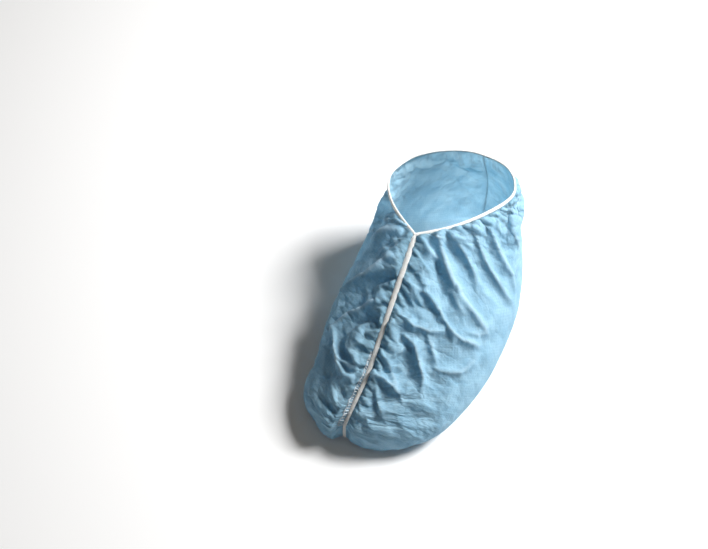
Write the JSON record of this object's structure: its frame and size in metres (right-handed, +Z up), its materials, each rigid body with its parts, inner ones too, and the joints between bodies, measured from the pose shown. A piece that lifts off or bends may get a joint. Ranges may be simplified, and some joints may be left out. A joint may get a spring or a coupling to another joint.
{
  "type": "non-woven shoe cover",
  "caption": "Disposable non-woven overshoe: gathered cloth panels joined by an elastic tape seam, with an elastic-bound ankle mouth, standing open on its sole.",
  "frame": {"origin": "middle of the cover's box in plan, on the floor", "axes": "+Z up, +Y from the toe to the heel, +X to the left of the foot that points along -Y"},
  "size_m": [0.1822, 0.303, 0.1324],
  "materials": {
    "cloth_blue": "matte non-woven",
    "elastic_white": "matte elastic"
  },
  "bodies": {
    "root": {"left_panel": "cloth_blue", "right_panel": "cloth_blue", "seam_tape": "elastic_white", "opening_binding": "elastic_white"}
  },
  "joints": []
}
